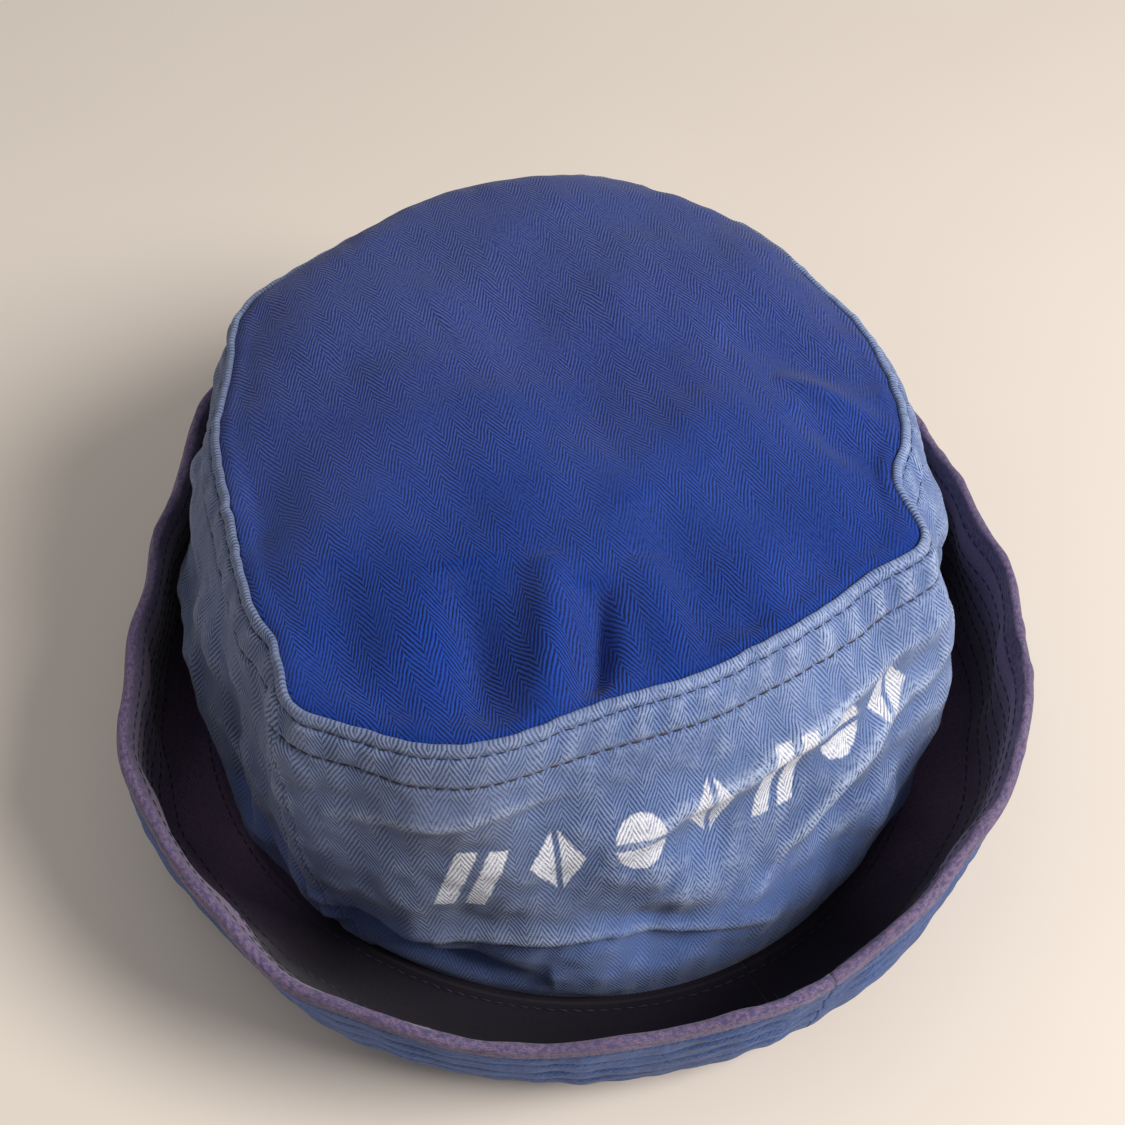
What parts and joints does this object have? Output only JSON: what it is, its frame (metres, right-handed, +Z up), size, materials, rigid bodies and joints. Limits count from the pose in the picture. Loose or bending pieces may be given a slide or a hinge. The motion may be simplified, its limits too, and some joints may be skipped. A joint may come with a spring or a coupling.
{
  "type": "bucket hat",
  "caption": "Soft cotton bucket hat with a domed top, a tall side band and a stitched brim turned up all round.",
  "frame": {"origin": "centre of the head opening, in the plane the hat stands on", "axes": "+Z up through the crown, -Y out of the printed front, +X to the hat's side seam on the viewer's right when facing the print"},
  "size_m": [0.2366, 0.2379, 0.102],
  "materials": {
    "top_cloth": "royal blue herringbone cotton twill, softly napped, rough and matt",
    "side_cloth": "washed light blue herringbone cotton twill with a worn white stencil print",
    "brim_upper_cloth": "dark navy-purple cotton twill, matt",
    "brim_under_cloth": "washed mid-blue cotton twill, ridged by parallel stitching",
    "interlining": "undyed cotton canvas",
    "sweatband_cloth": "dark blue cotton twill tape, matt",
    "tape": "blue cotton tape, plain weave",
    "thread": "dark navy spun polyester thread"
  },
  "bodies": {
    "root": {"brim_edge_stitching": "thread", "brim_interlining_left": "interlining", "brim_interlining_right": "interlining", "brim_join_stitching": "thread", "brim_row_stitching_1": "thread", "brim_row_stitching_2": "thread", "brim_row_stitching_3": "thread", "brim_row_stitching_4": "thread", "brim_row_stitching_5": "thread", "brim_row_stitching_6": "thread", "brim_seam_stitching_back": "thread", "brim_seam_stitching_front": "thread", "brim_under_left": "brim_under_cloth", "brim_under_right": "brim_under_cloth", "brim_upper_left": "brim_upper_cloth", "brim_upper_right": "brim_upper_cloth", "crown_edge_stitching": "thread", "crown_lower_stitching": "thread", "crown_seam_tape": "tape", "crown_side_back": "side_cloth", "crown_side_front": "side_cloth", "crown_top": "top_cloth", "side_seam_stitching_left": "thread", "side_seam_stitching_right": "thread", "side_seam_tape_left": "tape", "side_seam_tape_right": "tape", "sweatband": "sweatband_cloth", "sweatband_stitching": "thread"}
  },
  "joints": []
}
